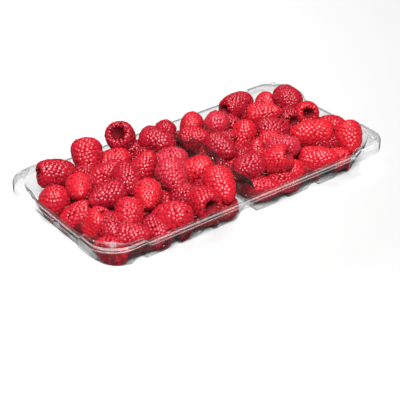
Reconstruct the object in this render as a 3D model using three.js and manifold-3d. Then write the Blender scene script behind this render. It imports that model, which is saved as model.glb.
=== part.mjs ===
// A punnet of raspberries: a clear, shallow, thermoformed tray with no lid, parted by a hollow divider,
// and a heap of berries in each of its two compartments.
// Millimetres, +Z up, +X along the tray. The origin is the middle of the base, on the surface it stands on.
import * as THREE from 'three';
import { mergeVertices } from 'three/addons/utils/BufferGeometryUtils.js';
import Module from 'manifold-3d';

const wasm = await Module();
wasm.setup();

// Driving dimensions of the tray
const RIM_X = 100;             // half the length over the rim's straight sides
const RIM_Y = 51;              // half the width over the rim's straight sides
const RIM_Z = 17;              // height of the rim's top face
const SHEET = 0.8;             // thickness of the sheet
const CORNER_FLARE = 1;        // how far the rim stands out at the corners
const CORNER_RISE = 3;         // how far the rim is raised at the corners
const RISE_X = [71.5, 75.5];   // where the rim's long sides climb to the raised corners
const RISE_Y = [22.5, 27];     // the same, short sides
const RIM_CORNER = 16;         // reach of the rim's rounded corners
const MOUTH_CORNER = 14;       // reach of the nearly straight corner of the mouth
const BASE_CORNER = 16;        // reach of the base's rounded corners
const MOUTH_INSET = 4;         // from the rim's edge to the mouth
const BASE_INSET_X = 9.5;      // from the rim's edge to the foot of the wall, short sides
const BASE_INSET_Y = 10.5;     // the same, long sides
const FOOT_ROUND = 1.5;        // rounding where the wall meets the base
const BEAD_INSET = 2;          // from the rim's edge to the raised bead
const BEAD_Z = 0.9;            // height of the bead over the outer rim
const LIP_Z = 3.2;             // depth of the turned-down lip, from the rim's top

// The divider, an inverted V across the tray with a high hump at its middle
const RIDGE_FOOT = 7.8;        // half width at the base
const RIDGE_TOP = 1.3;         // half width at the top of the hump
const HUMP_Z = 10.3;           // height of the hump over the rim
const SADDLE_Z = 5;            // height of the rest of the ridge over the rim
const HUMP_FLAT_Y = 9.5;       // half length of the hump's top
const HUMP_FOOT_Y = 14.5;      // half length of the hump at its foot
const RIDGE_END_Y = 41;        // where the ridge starts to fall to the rim
const RIDGE_LAND_Y = 43;       // where it lands on the rim's ledge

// Channels pressed across the base, and pads pressed into the rim
const CHANNEL_X = [27, 50, 72];
const CHANNEL_FOOT = 4.6;      // half width at the base
const CHANNEL_TOP = 3;         // half width at the top
const CHANNEL_Z = 4;
const CATCH_X = 7;             // half length of the raised catch on the rim at each end of the divider
const CATCH_SLOPE = 2;         // length of its sloping ends
const CATCH_Z = 3;
const PAD_X = 93.7;            // square corner of the triangular pad on each corner of the rim
const PAD_Y = 46.7;
const PAD_SIDE = 8;
const PAD_HEIGHT = 0.8;
const BUTTON_RADIUS = 1.7;
const BUTTON_HEIGHT = 1.1;
const FUSE_MARGIN = 0.15;      // what is pressed in reaches this near to the outer face of the wall

// The heaps
const CLEARANCE = 0.35;        // gap between the berries and the divider, the channels and the rim
const WALL_CLEARANCE = 0.7;    // gap between the berries and the sloping wall and floor
const CORE_Z = 15;             // top of the solid core under the berries that show
const CORE_MARGIN = 7;         // from the wall at mid height to the core
const LOW_ROW_Z = 9.6;         // centre height of the berries along the walls
const LOW_ROW_Y = 31;
const LOW_COLUMN_X = 83;
const LOW_PITCH = 16.3;
const LOW_WIDE = 16.5;
const LOW_LONG = 19.5;
const DRUPELET_RELIEF = 0.05;  // alternate drupelets stand out by this share of the radius
const HEAP_SPACE_Z = 60;       // well above the highest berry

// Turns a closed three.js geometry into a solid for joining and cutting.
function solid(geometry) {
  const bare = geometry.index ? geometry : geometry.clone();
  bare.deleteAttribute('normal');
  bare.deleteAttribute('uv');
  const merged = mergeVertices(bare, 1e-4);
  return new wasm.Manifold(new wasm.Mesh({
    numProp: 3,
    vertProperties: new Float32Array(merged.attributes.position.array),
    triVerts: new Uint32Array(merged.index.array),
  }));
}

// Turns a solid back into a geometry with flat faces.
function geometryOf(body) {
  const mesh = body.getMesh();
  const points = new Float32Array(mesh.numVert * 3);
  for (let i = 0; i < mesh.numVert; i += 1) {
    for (let k = 0; k < 3; k += 1) points[i * 3 + k] = mesh.vertProperties[i * mesh.numProp + k];
  }
  const geometry = new THREE.BufferGeometry();
  geometry.setAttribute('position', new THREE.BufferAttribute(points, 3));
  geometry.setIndex(new THREE.BufferAttribute(new Uint32Array(mesh.triVerts), 1));
  geometry.computeVertexNormals();
  return geometry;
}

const joinAll = (bodies) => bodies.reduce((sum, body) => sum.add(body));

// Extrudes an outline given in the (u, v) plane. The three axes say where u, v and the extrusion point.
function prism(points, from, to, axes) {
  const shape = new THREE.Shape(points.map(([u, v]) => new THREE.Vector2(u, v)));
  const geometry = new THREE.ExtrudeGeometry(shape, { depth: to - from, bevelEnabled: false });
  geometry.translate(0, 0, from);
  geometry.applyMatrix4(new THREE.Matrix4().makeBasis(...axes));
  return solid(geometry);
}
const X = new THREE.Vector3(1, 0, 0);
const Y = new THREE.Vector3(0, 1, 0);
const Z = new THREE.Vector3(0, 0, 1);
const prismAlongX = (points, from, to) => prism(points, from, to, [Y, Z, X]);
const prismAlongY = (points, from, to) => prism(points, -to, -from, [X, Z, Y.clone().negate()]);
const prismAlongZ = (points, from, to) => prism(points, from, to, [X, Y, Z]);

// The tray's rings

// How much of the corners' rise a point of the rim has, from 0 on the straight sides to 1 at a corner.
const cornerShare = (x, y) => THREE.MathUtils.smoothstep(Math.abs(x), ...RISE_X)
  * THREE.MathUtils.smoothstep(Math.abs(y), ...RISE_Y);

// One outline of the tray: straight sides with points at the given places, and corners that reach `corner`
// along each side. A fullness of 2 makes a corner a round arc, and 1 a straight cut.
function outline(halfX, halfY, corner, fullness, sideX, sideY) {
  const quarter = sideY.map((y) => [halfX, y]);
  const cornerSteps = 5;
  for (let i = 0; i <= cornerSteps; i += 1) {
    const angle = (i / cornerSteps) * (Math.PI / 2);
    const along = Math.cos(angle) ** (2 / fullness);
    const across = Math.sin(angle) ** (2 / fullness);
    quarter.push([halfX - corner + corner * along, halfY - corner + corner * across]);
  }
  quarter.push(...[...sideX].reverse().map((x) => [x, halfY]));
  const back = [...quarter].reverse();
  return [
    [halfX, 0], ...quarter, [0, halfY], ...back.map(([x, y]) => [-x, y]),
    [-halfX, 0], ...quarter.map(([x, y]) => [-x, -y]), [0, -halfY], ...back.map(([x, y]) => [x, -y]),
  ];
}

// A closed body through a stack of rings of [x, y, z] points, closed by a fan at its first and last one.
function loft(rings) {
  const count = rings[0].length;
  const positions = rings.flat(2);
  const index = [];
  for (let ring = 0; ring + 1 < rings.length; ring += 1) {
    for (let i = 0; i < count; i += 1) {
      const a = ring * count + i;
      const b = ring * count + ((i + 1) % count);
      index.push(a, b, a + count, b, b + count, a + count);
    }
  }
  const firstMiddle = positions.length / 3;
  positions.push(0, 0, rings[0][0][2], 0, 0, rings[rings.length - 1][0][2]);
  const last = (rings.length - 1) * count;
  for (let i = 0; i < count; i += 1) {
    const next = (i + 1) % count;
    index.push(firstMiddle, next, i, firstMiddle + 1, last + i, last + next);
  }
  const geometry = new THREE.BufferGeometry();
  geometry.setAttribute('position', new THREE.Float32BufferAttribute(positions, 3));
  geometry.setIndex(index);
  return solid(geometry);
}

const SIDE_X = [55, ...RISE_X];
const SIDE_Y = [11, ...RISE_Y];
const FOOT_SIDE_X = [55, 64, 70];
const FOOT_SIDE_Y = [9, 15, 20];

// Rings of the rim and the mouth climb by the corners' rise times `rise`.
function raised(points, z, rise) {
  return points.map(([x, y]) => [x, y, z + rise * CORNER_RISE * cornerShare(x, y)]);
}
function rimRing(inset, z, rise = 1) {
  const points = outline(RIM_X - inset, RIM_Y - inset, RIM_CORNER - inset * 0.4, 1.8, SIDE_X, SIDE_Y);
  const flared = points.map(([x, y]) => {
    const out = CORNER_FLARE * cornerShare(x, y);
    return [x + Math.sign(x) * out, y + Math.sign(y) * out];
  });
  return raised(flared, z, rise);
}
const mouthRing = (grow, z, rise = 1) => raised(outline(
  RIM_X - MOUTH_INSET + grow, RIM_Y - MOUTH_INSET + grow, MOUTH_CORNER, 1.25, SIDE_X, SIDE_Y,
), z, rise);
const footRing = (grow, z) => outline(
  RIM_X - BASE_INSET_X + grow, RIM_Y - BASE_INSET_Y + grow, BASE_CORNER, 2, FOOT_SIDE_X, FOOT_SIDE_Y,
).map(([x, y]) => [x, y, z]);

// The space inside the wall, `margin` clear of its outer face, from the base up past the rim.
const inside = (margin, top) => loft([
  footRing(-margin - FOOT_ROUND, margin),
  footRing(-margin, margin + FOOT_ROUND),
  mouthRing(-margin + SHEET, RIM_Z - 1),
  mouthRing(-margin + SHEET, top, 0),
]);

// The sheet without its pressed features: from the floor up the wall, over the rim and the lip, and back.
const bareTray = () => loft([
  footRing(-FOOT_ROUND, 0),
  footRing(0, FOOT_ROUND),
  mouthRing(SHEET, RIM_Z - SHEET - 1),
  mouthRing(SHEET + 0.4, RIM_Z - SHEET),
  rimRing(BEAD_INSET + SHEET * 0.4, RIM_Z - SHEET),
  rimRing(BEAD_INSET + SHEET * 0.1, RIM_Z - SHEET - BEAD_Z),
  rimRing(SHEET, RIM_Z - SHEET - BEAD_Z - 0.3),
  rimRing(SHEET, RIM_Z - LIP_Z, 0),
  rimRing(0, RIM_Z - LIP_Z, 0),
  rimRing(0, RIM_Z - BEAD_Z - 0.5),
  rimRing(0.5, RIM_Z - BEAD_Z),
  rimRing(BEAD_INSET - 0.3, RIM_Z - BEAD_Z),
  rimRing(BEAD_INSET, RIM_Z),
  mouthRing(0.5, RIM_Z),
  mouthRing(0, RIM_Z - 0.8),
  footRing(-SHEET, SHEET + FOOT_ROUND),
  footRing(-SHEET - FOOT_ROUND, SHEET),
]);

// The divider grown outwards by `grow`, or shrunk for its hollow.
function ridge(grow, mouthZ, endY) {
  const humpTop = RIM_Z + HUMP_Z + grow;
  const footZ = grow < 0 ? -1 : SHEET / 2;
  const slope = (RIDGE_FOOT - RIDGE_TOP) / (RIM_Z + HUMP_Z);
  const halfAt = (z) => RIDGE_FOOT - slope * z + grow;
  const section = [
    [-halfAt(footZ), footZ], [halfAt(footZ), footZ], [halfAt(humpTop), humpTop], [-halfAt(humpTop), humpTop],
  ];
  const half = [
    [endY, footZ], [endY, mouthZ], [RIDGE_LAND_Y + grow, mouthZ], [RIDGE_END_Y + grow, RIM_Z + SADDLE_Z + grow],
    [HUMP_FOOT_Y + grow, RIM_Z + SADDLE_Z + grow], [HUMP_FLAT_Y + grow, humpTop],
  ];
  const side = [...half, ...[...half].reverse().map(([y, z]) => [-y, z])];
  return prismAlongY(section, -endY, endY).intersect(prismAlongX(side, -RIDGE_FOOT - 2, RIDGE_FOOT + 2));
}

// The channels across the base, grown or shrunk like the divider.
function channels(grow, endY) {
  const footZ = grow < 0 ? -1 : SHEET / 2;
  const places = CHANNEL_X.flatMap((x) => [-x, x]);
  return joinAll(places.map((x) => prismAlongY([
    [x - CHANNEL_FOOT - grow, footZ], [x + CHANNEL_FOOT + grow, footZ],
    [x + CHANNEL_TOP + grow, CHANNEL_Z + grow], [x - CHANNEL_TOP - grow, CHANNEL_Z + grow],
  ], -endY, endY)));
}

// The raised catches on the rim, one at each end of the divider, grown or shrunk like it.
function catches(grow) {
  const footZ = RIM_Z - (grow < 0 ? LIP_Z : SHEET / 2);
  const top = RIM_Z + CATCH_Z + grow;
  const points = [
    [-CATCH_X - CATCH_SLOPE - grow, footZ], [CATCH_X + CATCH_SLOPE + grow, footZ],
    [CATCH_X + grow, top], [-CATCH_X - grow, top],
  ];
  const innerY = RIM_Y - MOUTH_INSET + 0.6 - grow;
  const outerY = RIM_Y - BEAD_INSET + 0.2 + grow;
  return prismAlongY(points, innerY, outerY).add(prismAlongY(points, -outerY, -innerY));
}

// A raised triangular pad with a round button on each corner of the rim, grown by `grow` to keep berries off.
function cornerPads(grow) {
  const pads = [];
  const padTop = RIM_Z + CORNER_RISE + PAD_HEIGHT + grow;
  for (const sx of [-1, 1]) {
    for (const sy of [-1, 1]) {
      const triangle = [[grow, grow], [-PAD_SIDE - 2 * grow, grow], [grow, -PAD_SIDE - 2 * grow]];
      const points = triangle.map(([x, y]) => [sx * (PAD_X + x), sy * (PAD_Y + y)]);
      pads.push(prismAlongZ(points, RIM_Z + CORNER_RISE - SHEET / 2, padTop));
      const height = BUTTON_HEIGHT + SHEET;
      const button = new THREE.CylinderGeometry(BUTTON_RADIUS * 0.7 + grow, BUTTON_RADIUS + grow, height, 12);
      button.rotateX(Math.PI / 2);
      const middle = [PAD_X - PAD_SIDE / 3, PAD_Y - PAD_SIDE / 3];
      button.translate(sx * middle[0], sy * middle[1], padTop + BUTTON_HEIGHT - height / 2);
      pads.push(solid(button));
    }
  }
  return joinAll(pads);
}

function tray() {
  const pressedIn = joinAll([
    ridge(0, RIM_Z - 0.5, RIM_Y - MOUTH_INSET),
    channels(0, RIM_Y - BASE_INSET_Y),
  ]).intersect(inside(FUSE_MARGIN, HEAP_SPACE_Z));
  const hollows = joinAll([
    ridge(-SHEET, RIM_Z - LIP_Z - 0.3, RIM_Y - MOUTH_INSET),
    channels(-SHEET, RIM_Y - BASE_INSET_Y + 3),
  ]);
  const sheet = bareTray().add(pressedIn).subtract(hollows);
  return sheet.add(catches(0)).add(cornerPads(0));
}

// The berries that show. x, y and z place the middle; `turn` is the way the tip points in plan, from +X
// towards +Y, and `rise` how far it points up, in degrees; then width, length, and whether the mouth shows.
const LEFT_BERRIES = [
  [-28, 38, 25, 37, -48, 18, 20, true],
  [-55, 35, 23, -117, -32, 19.5, 22, false],
  [-75, 34, 20, -18, -6, 17, 22, true],
  [-74, 13, 20, -119, 8, 16, 19, false],
  [-85, 20, 11, -86, 61, 16, 20, false],
  [-69, -6, 22, 170, -5, 16.5, 22, false],
  [-40, 30, 17, -36, 22, 16, 20, false],
  [-53, 18, 19, -35, 44, 17, 21, false],
  [-51, 1, 22, -107, -8, 17.5, 21, false],
  [-35, 8, 22, -21, 61, 17.5, 21, false],
  [-18, 5, 21, -45, 27, 16, 20, false],
  [-30, -13, 24, -100, -22, 18.5, 22, false],
  [-13, -12, 21, -52, 39, 17, 21, false],
  [-50, -17, 20, -122, -3, 16.5, 20, false],
  [-47, -35, 16, -56, 31, 19, 24, false],
  [-28, -36, 19, 86, -8, 18, 20, true],
  [-84, 2, 12, 150, -31, 16.5, 21, false],
  [-82, -15, 13, 143, -60, 17, 20, false],
  [-66, -22, 18, -128, -28, 17, 20, false],
  [-72, -34, 13, -46, 5, 16.5, 20, false],
  [-15, 22, 26, -65, -5, 18, 22, false],
  [-12, 36, 19, 52, 58, 16, 19, false],
  [-7, 33, 25, -21, 61, 14, 17, false],
  [-13, -34, 21, -102, -17, 18, 23, false],
];
const RIGHT_BERRIES = [
  [19, 35, 19, -117, 61, 15.5, 18, false],
  [13, 23, 17, -55, 10, 16, 19, false],
  [28, 22, 22, -128, 62, 16, 18, false],
  [53, 33, 23, 3, 6, 16.5, 20, true],
  [76, 33, 18, 52, 58, 15.5, 18, false],
  [60, 16, 23, -52, 15, 16.5, 22, false],
  [84, 20, 22, -95, -7, 16.5, 20, false],
  [82, 3, 21, 77, 1, 16, 18, true],
  [51, -1, 21, 155, 19, 15.5, 21, false],
  [66, -19, 21, 151, 5, 17, 25, true],
  [85, -18, 18, -38, 0, 15.5, 18, false],
  [82, -35, 19, -116, -37, 17, 21, false],
  [34, 5, 19, -9, 68, 15.5, 22, false],
  [15, 1, 20, -79, -6, 16, 20, false],
  [13, -25, 20, 162, -11, 16, 20, false],
  [33, -9, 16, 52, 85, 15.5, 19, false],
  [42, -22, 22, -55, 10, 16, 21, false],
  [28, -30, 21, 129, -29, 16, 20, true],
  [51, -18, 12, -34, -64, 16, 19, false],
  [58, -35, 14, -48, 12, 16, 24, false],
  [38, -34, 10, -65, 65, 16, 20, false],
  [17, -35, 9, -46, 5, 15.5, 19, false],
];

// The low berries along the walls that a sight line to the bare floor leaves out.
const BARE_PLACES = [[-83, 31], [83, 31], [83, 15.5], [50.5, 31], [-34, 31], [83, -31]];

// One berry as a lathe of few sides, alternate drupelets standing out, its mouth down at -Y and its tip up.
function berryGeometry(wide, long, sides, open) {
  const radius = wide / 2;
  const shell = [[0.62, -0.5], [0.96, -0.32], [1, -0.05], [0.85, 0.22], [0.5, 0.42], [0, 0.5]];
  const mouth = open ? [[0, -0.1], [0.34, -0.16], [0.42, -0.47]] : [[0, -0.44]];
  const profile = [...mouth, ...shell].map(([r, h]) => new THREE.Vector2(r * radius, h * long));
  const geometry = new THREE.LatheGeometry(profile, sides);
  geometry.deleteAttribute('normal');
  geometry.deleteAttribute('uv');
  const spot = new THREE.Vector3();
  const position = geometry.attributes.position;
  for (let i = 0; i < position.count; i += 1) {
    spot.fromBufferAttribute(position, i);
    const side = Math.floor(i / profile.length) % sides;
    const row = i % profile.length;
    const relief = row > mouth.length ? ((side + row) % 2 ? 1 : -1) * DRUPELET_RELIEF : 0;
    position.setXYZ(i, spot.x * (1 + relief), spot.y, spot.z * (1 + relief));
  }
  return geometry;
}

function berry([x, y, z, turn, rise, wide, long, open], sides) {
  const geometry = berryGeometry(wide, long, sides, open);
  const flat = Math.cos(THREE.MathUtils.degToRad(rise));
  const direction = new THREE.Vector3(
    flat * Math.cos(THREE.MathUtils.degToRad(turn)),
    flat * Math.sin(THREE.MathUtils.degToRad(turn)),
    Math.sin(THREE.MathUtils.degToRad(rise)),
  );
  geometry.applyQuaternion(new THREE.Quaternion().setFromUnitVectors(Y, direction));
  geometry.translate(x, y, z);
  return solid(geometry);
}

// The berries of the lowest row, along the three walls of one compartment.
function lowBerries(side) {
  const places = [];
  for (let column = 0; column < 5; column += 1) {
    const x = side * (LOW_COLUMN_X - column * LOW_PITCH);
    places.push([x, -LOW_ROW_Y], [x, LOW_ROW_Y]);
  }
  for (const row of [-1, 0, 1]) places.push([side * LOW_COLUMN_X, row * 15.5]);
  const bare = ([x, y]) => BARE_PLACES.some(([bx, by]) => Math.hypot(x - bx, y - by) < 2);
  return places.filter((place) => !bare(place)).map(([x, y], i) => berry(
    [x, y, LOW_ROW_Z, (i * 67) % 360, ((i * 41) % 50) - 25, LOW_WIDE, LOW_LONG, false], 8,
  ));
}

// The core under the berries, with its outer corners cut back where the floor is bare.
function core(side) {
  const innerX = RIDGE_FOOT + 1.5;
  const outerX = RIM_X - BASE_INSET_X - CORE_MARGIN;
  const halfY = RIM_Y - BASE_INSET_Y - CORE_MARGIN;
  const cut = 14;
  const half = [[innerX, halfY], [outerX - cut, halfY], [outerX, halfY - cut]];
  const points = [...half, ...[...half].reverse().map(([x, y]) => [x, -y])];
  return prismAlongZ(points.map(([x, y]) => [side * x, y]), SHEET + CLEARANCE, CORE_Z);
}

// The biggest connected piece, without loose scraps or sealed hollows.
function largestPiece(body) {
  const pieces = body.decompose().filter((piece) => piece.volume() > 0);
  return pieces.sort((a, b) => b.volume() - a.volume())[0];
}

// Where berries may be: inside the wall, and above the rim as far out as its bead, but not over its corners.
function heapSpace() {
  const overRim = loft([
    rimRing(BEAD_INSET, RIM_Z + CLEARANCE, 0), rimRing(BEAD_INSET, HEAP_SPACE_Z, 0),
  ]);
  const corners = joinAll([-1, 1].flatMap((sx) => [-1, 1].map((sy) => prismAlongZ([
    [sx * (RISE_X[0] - 1), sy * (RISE_Y[0] - 1)], [sx * (RIM_X + 2), sy * (RISE_Y[0] - 1)],
    [sx * (RIM_X + 2), sy * (RIM_Y + 2)], [sx * (RISE_X[0] - 1), sy * (RIM_Y + 2)],
  ], RIM_Z - 1, RIM_Z + CORNER_RISE + CLEARANCE))));
  const withinWall = inside(SHEET + WALL_CLEARANCE, RIM_Z + 8);
  return overRim.subtract(corners).add(withinWall)
    .subtract(ridge(CLEARANCE, RIM_Z + CLEARANCE, RIM_Y - MOUTH_INSET))
    .subtract(channels(CLEARANCE, RIM_Y - BASE_INSET_Y))
    .subtract(catches(CLEARANCE))
    .subtract(cornerPads(CLEARANCE));
}

function heap(side, berries) {
  const pieces = [core(side), ...berries.map((row) => berry(row, 12)), ...lowBerries(side)];
  return largestPiece(joinAll(pieces).intersect(heapSpace()));
}

// Materials and the scene graph
const clearPlastic = new THREE.MeshStandardMaterial({
  color: 0xe9edf0, roughness: 0.08, metalness: 0, transparent: true, opacity: 0.35,
});
const berryFlesh = new THREE.MeshStandardMaterial({ color: 0xc8102e, roughness: 0.45, metalness: 0 });

function named(name, body, material) {
  const mesh = new THREE.Mesh(geometryOf(body), material);
  mesh.name = name;
  return mesh;
}

const punnet = new THREE.Group();
punnet.name = 'punnet';
punnet.add(named('tray', tray(), clearPlastic));
punnet.add(named('raspberries_left', heap(-1, LEFT_BERRIES), berryFlesh));
punnet.add(named('raspberries_right', heap(1, RIGHT_BERRIES), berryFlesh));

export default punnet;
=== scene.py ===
# A punnet of raspberries: a clear thermoformed tray, parted by a hollow divider, with a heap of berries on
# each side. The frame is in metres. Sizes below are in millimetres, with +X along the tray, +Y across it and
# +Z up.
import math
import random

import bmesh
import bpy
import numpy as np
from mathutils import Matrix, Vector


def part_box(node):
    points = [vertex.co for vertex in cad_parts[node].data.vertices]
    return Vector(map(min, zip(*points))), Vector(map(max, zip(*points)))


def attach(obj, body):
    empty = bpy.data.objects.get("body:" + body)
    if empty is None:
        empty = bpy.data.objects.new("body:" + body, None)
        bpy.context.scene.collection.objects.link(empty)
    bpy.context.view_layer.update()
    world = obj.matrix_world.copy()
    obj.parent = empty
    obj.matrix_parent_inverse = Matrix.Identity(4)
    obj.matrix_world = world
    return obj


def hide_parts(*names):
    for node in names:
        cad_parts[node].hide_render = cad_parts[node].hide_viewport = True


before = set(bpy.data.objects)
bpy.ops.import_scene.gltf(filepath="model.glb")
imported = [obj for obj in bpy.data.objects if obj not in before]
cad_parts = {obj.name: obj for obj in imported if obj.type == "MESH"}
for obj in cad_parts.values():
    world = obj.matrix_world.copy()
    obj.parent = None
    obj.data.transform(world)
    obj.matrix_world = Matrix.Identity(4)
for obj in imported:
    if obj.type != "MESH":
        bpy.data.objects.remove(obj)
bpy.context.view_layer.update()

MM = 0.001

# The tray, with the rim's size from the frame
CORNER_FLARE = 1.0
CORNER_RISE = 3.0
RIM_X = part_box("tray")[1].x / MM - CORNER_FLARE
RIM_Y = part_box("tray")[1].y / MM - CORNER_FLARE
RIM_Z = 17.0
SHEET = 0.45
RISE_X = (71.5, 75.5)
RISE_Y = (22.5, 27.0)
RIM_CORNER = 16.0
MOUTH_CORNER = 14.0
BASE_CORNER = 16.0
RIM_FULLNESS = 1.8
MOUTH_FULLNESS = 1.25
BASE_FULLNESS = 2.0
MOUTH_INSET = 4.0
BASE_INSET_X = 9.5
BASE_INSET_Y = 10.5
FOOT_ROUND = 1.5
MOUTH_ROUND = 0.6
BEAD_INSET = 2.0
BEAD_Z = 0.9
LIP_Z = 3.2
CORNER_STEPS = 12

# The divider, the channels in the base, and what is pressed into the rim
RIDGE_FOOT = 7.8
RIDGE_TOP = 1.3
HUMP_Z = RIM_Z + 10.3
SADDLE_Z = RIM_Z + 5.0
LEDGE_Z = RIM_Z - 1.0
BAR_HALF_Y = 50.0              # half the length of the bars that press the divider and the channels
RIDGE_STATIONS = ((9.5, HUMP_Z), (14.5, SADDLE_Z), (41.0, SADDLE_Z), (43.0, LEDGE_Z), (BAR_HALF_Y, LEDGE_Z))
CHANNEL_X = (27.0, 50.0, 72.0)
CHANNEL_FOOT = 4.6
CHANNEL_TOP = 3.0
CHANNEL_Z = 4.0
CATCH_X = 7.0
CATCH_SLOPE = 2.0
CATCH_Z = 3.0
PAD_X = 93.7
PAD_Y = 46.7
PAD_SIDE = 8.0
PAD_HEIGHT = 0.8
BUTTON_RADIUS = 1.7
BUTTON_HEIGHT = 1.1
BUTTON_ROUND = 0.5
PAD_ROUND = 0.3
CATCH_ROUND = 0.4
FOLD_RADIUS = 0.6
FOLD_ANGLE = 24                # degrees, past which an edge of the sheet is rounded
# How much painted highlight the corner pads' tops get
PAD_PAINTED_HIGHLIGHT = 0.4

# The berries
MASTER_WIDE = 17.0
MASTER_LONG = 20.5
DRUPELET_PITCH = 2.6
DRUPELET_RELIEF = 1.05
DRUPELET_SIZES = (0.66, 0.80)  # half the width, as a share of the pitch
DRUPELET_RISES = (0.85, 1.1)   # the height, as a share of the relief
DRUPELET_LEAN = 0.12
DRUPELET_SHAKE = 0.35
CREASE_DEPTH = 0.7
DOME_CUT = 0.31
CUP_SIDES = 20
RIM_FOLDS = 14
# Each form's outer profile from the mouth to the tip, as shares of half the width and of the length
SHELLS = {
    "blunt": (
        (0.58, -0.49), (0.78, -0.45), (0.94, -0.32), (1.0, -0.10),
        (0.94, 0.17), (0.72, 0.37), (0.3, 0.48), (0, 0.5),
    ),
    "conic": (
        (0.58, -0.49), (0.80, -0.45), (0.97, -0.32), (0.97, -0.12),
        (0.83, 0.15), (0.56, 0.36), (0.25, 0.48), (0, 0.5),
    ),
    "round": (
        (0.56, -0.49), (0.77, -0.44), (0.94, -0.30), (1.0, -0.04),
        (0.90, 0.23), (0.64, 0.41), (0.28, 0.48), (0, 0.5),
    ),
    "open": (
        (0.72, -0.495), (0.87, -0.45), (0.98, -0.32), (1.0, -0.08),
        (0.90, 0.18), (0.66, 0.38), (0.3, 0.48), (0, 0.5),
    ),
}
# The hollow's profile from its end to the rounded rim of the mouth, and where the rim's folds lie
HOLLOWS = {
    "shut": ((0.10, 0.0), (0.20, -0.12), (0.26, -0.30), (0.30, -0.42), (0.40, -0.46), (0.54, -0.44)),
    "open": ((0.14, 0.06), (0.28, -0.05), (0.38, -0.24), (0.42, -0.40), (0.54, -0.46), (0.68, -0.44)),
}
FOLD_RINGS = {"shut": 0.45, "open": 0.58}
FOLD_DEPTH = 0.452
FOLD_REACH = 0.21
GOLDEN_ANGLE = math.pi * (3 - math.sqrt(5))
HEAP_TOP = max(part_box("raspberries_left")[1].z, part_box("raspberries_right")[1].z) / MM - 0.1
TRAY_GAP = 0.3                 # how near a pressed berry comes to the sheet
LOW_ROW_Z = 8.8
LOW_ROW_Y = 34.5
LOW_COLUMN_X = 85.5
LOW_PITCH = 14.5
LOW_WIDE = 16.5
LOW_LONG = 19.5
LOW_LAYER_Z = 12.0             # berries with their middles below this are in the lowest layer
WALL_ROOM = 6.5                # the least gaps to the middles of berries that show
LOW_ROOM = 9.0
HEAP_ROOM = 10.5
HIDDEN_ROOM = 11.0
BARE_RADIUS = 9.0
LUMP_WAVES = 4
LUMP_TURN = 0.42               # radians for each millimetre
BERRY_LUMPS = 0.22
CORE_LUMPS = 0.6
CORE_MIDDLE_Z = 6.5
CORE_HEIGHT = 11.0
CORE_ROUND = 3.0

# The dried styles, one in many drupelets
HAIRS_EACH = 55
HAIR_LENGTHS = (1.1, 2.1)
SHORTEST_HAIR = 1.0
HAIR_WIDE = 0.055
HAIR_BEND = 7.0                # how far the unit hair leans over, in its own widths

# Each berry that shows: x, y, z of its middle; the way its tip points in plan and its rise, in degrees; its
# width, length, ripeness and form
LEFT_BERRIES = (
    (-28.8, 38.6, 24.5, 37, -48, 18, 20, "deep", "open"),
    (-55, 35, 22.3, -117, -32, 19.5, 21, "mid", "conic"),
    (-75, 34, 20, -18, -6, 17, 22, "deep", "open"),
    (-74, 13, 19.3, -119, 8, 16, 19, "bright", "conic"),
    (-86, 20.8, 12, -86, 61, 18.5, 20, "mid", "blunt"),
    (-69, -6, 22, 170, -5, 16.5, 22, "deep", "conic"),
    (-40, 30, 17, -36, 22, 16, 20, "bright", "round"),
    (-53, 18, 19, -35, 44, 17, 21, "mid", "conic"),
    (-51, 1, 22, -107, -8, 17.5, 21, "deep", "blunt"),
    (-35, 8, 22, -21, 61, 17.5, 21, "mid", "conic"),
    (-18, 5, 21, -45, 27, 16, 20, "pale", "round"),
    (-30, -13, 22.8, -100, -22, 18.5, 20.5, "pale", "conic"),
    (-13, -12, 21, -52, 39, 17, 21, "bright", "blunt"),
    (-50, -17, 20, -122, -3, 16.5, 20, "bright", "conic"),
    (-47, -35, 14.7, -56, 31, 19, 24, "mid", "round"),
    (-28, -36, 18, 86, -8, 18, 20, "mid", "open"),
    (-84, 2, 10.8, 150, -31, 15.5, 21, "mid", "blunt"),
    (-82, -15, 12.5, 143, -60, 17, 20, "bright", "conic"),
    (-66, -22, 16.8, -128, -28, 17, 18.5, "mid", "round"),
    (-72, -34, 13, -46, 5, 16.5, 20, "deep", "conic"),
    (-15, 22, 25, -65, -5, 17, 22, "deep", "blunt"),
    (-12, 36, 15, 52, 58, 16, 19, "deep", "conic"),
    (-6.5, 28, 25, -21, 61, 14, 17, "deep", "round"),
    (-13, -34, 21, -102, -17, 18, 23, "bright", "conic"),
)
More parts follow.
